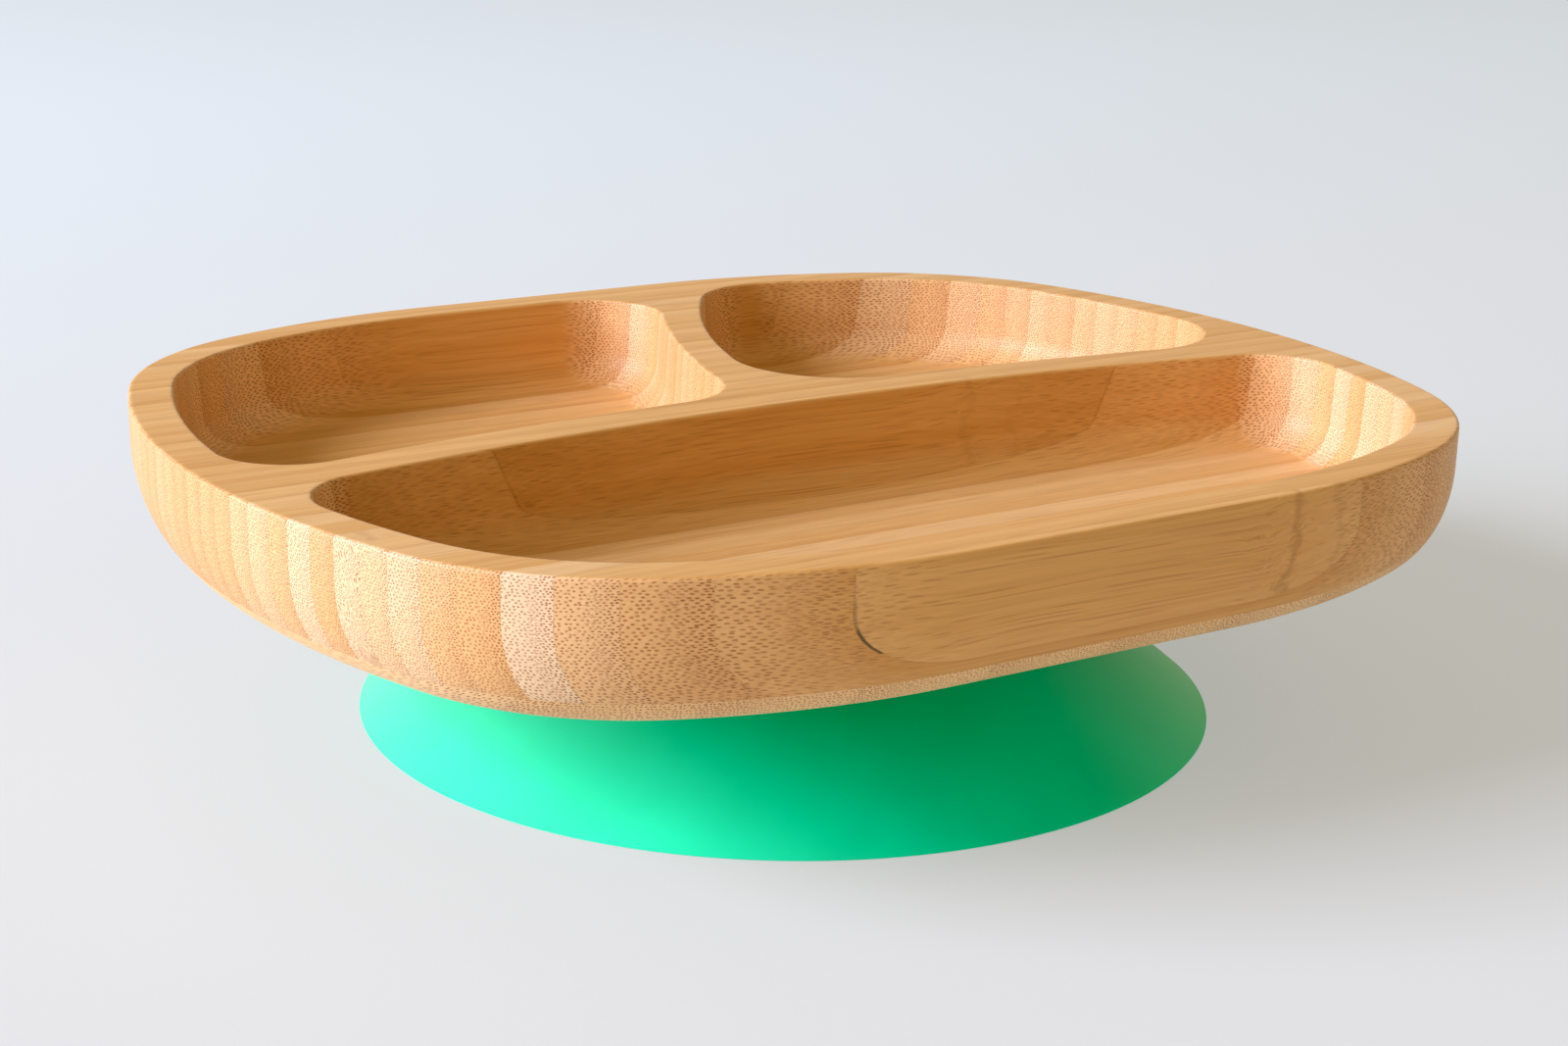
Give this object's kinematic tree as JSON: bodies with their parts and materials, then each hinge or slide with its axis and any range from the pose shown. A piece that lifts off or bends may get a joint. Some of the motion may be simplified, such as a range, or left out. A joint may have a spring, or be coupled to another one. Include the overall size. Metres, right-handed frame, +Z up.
{
  "type": "divided suction plate",
  "caption": "Rounded toddler plate of laminated bamboo with milled compartments, plugged onto a green silicone suction foot with a release tab.",
  "frame": {"origin": "on the table, under the middle of the plate", "axes": "+X along the plate's width and the long divider, to the right; +Y to the far side with the two small compartments; +Z up"},
  "size_m": [0.214, 0.183, 0.0545],
  "materials": {
    "bamboo_strip": "satin, oiled",
    "bamboo_strip_pale": "satin, oiled",
    "bamboo_ply": "satin, oiled",
    "silicone_skirt": "satin",
    "silicone_hub": "satin",
    "silicone_tab": "satin"
  },
  "bodies": {
    "foot": {"suction_skirt": "silicone_skirt"},
    "hub": {"suction_hub": "silicone_hub"},
    "plate": {"bamboo_strip_01": "bamboo_strip_pale", "bamboo_strip_02": "bamboo_strip", "bamboo_strip_03": "bamboo_strip_pale", "bamboo_strip_04": "bamboo_strip", "bamboo_strip_05": "bamboo_strip_pale", "bamboo_strip_06": "bamboo_strip", "bamboo_strip_07": "bamboo_strip_pale", "bamboo_strip_08": "bamboo_strip", "bamboo_strip_09": "bamboo_strip_pale", "bamboo_strip_10": "bamboo_strip", "bamboo_strip_11": "bamboo_strip_pale", "bamboo_strip_12": "bamboo_strip", "bamboo_strip_13": "bamboo_strip_pale", "bamboo_strip_14": "bamboo_strip", "bamboo_strip_15": "bamboo_strip_pale", "bamboo_strip_16": "bamboo_strip", "bamboo_strip_17": "bamboo_strip_pale", "bamboo_strip_18": "bamboo_strip", "bamboo_strip_19": "bamboo_strip_pale", "bamboo_strip_20": "bamboo_strip", "bamboo_strip_21": "bamboo_strip_pale", "bamboo_strip_22": "bamboo_strip", "bamboo_strip_23": "bamboo_strip_pale", "bamboo_strip_24": "bamboo_strip", "bamboo_strip_25": "bamboo_strip_pale", "bamboo_strip_26": "bamboo_strip", "bamboo_strip_27": "bamboo_strip_pale", "bamboo_strip_28": "bamboo_strip", "bamboo_strip_29": "bamboo_strip_pale", "bamboo_strip_30": "bamboo_strip", "bamboo_strip_31": "bamboo_strip_pale", "bamboo_strip_32": "bamboo_strip", "bamboo_strip_33": "bamboo_strip_pale", "bamboo_strip_34": "bamboo_strip", "bamboo_strip_35": "bamboo_strip_pale", "bamboo_strip_36": "bamboo_strip", "base_slat_01": "bamboo_ply", "base_slat_02": "bamboo_ply", "base_slat_03": "bamboo_ply", "base_slat_04": "bamboo_ply", "base_slat_05": "bamboo_ply", "base_slat_06": "bamboo_ply", "base_slat_07": "bamboo_ply", "base_slat_08": "bamboo_ply", "base_slat_09": "bamboo_ply", "base_slat_10": "bamboo_ply"},
    "tab": {"release_tab": "silicone_tab"}
  },
  "joints": [
    {"name": "suction_press", "type": "slide", "parent": "foot", "child": "hub", "axis": [0, 0, 1], "range_m": [-0.006, 0], "stiffness_N_per_m": 1500, "springref_m": 0.006, "deforming": ["suction_skirt"]},
    {"name": "plate_lift", "type": "slide", "parent": "hub", "child": "plate", "axis": [0, 0, 1], "range_m": [0, 0.05]},
    {"name": "tab_lift", "type": "hinge", "parent": "foot", "child": "tab", "pos_m": [0, 0.07625, 0.003], "axis": [1, 0, 0], "range_deg": [0, 60], "stiffness_Nm_per_rad": 0.02}
  ]
}
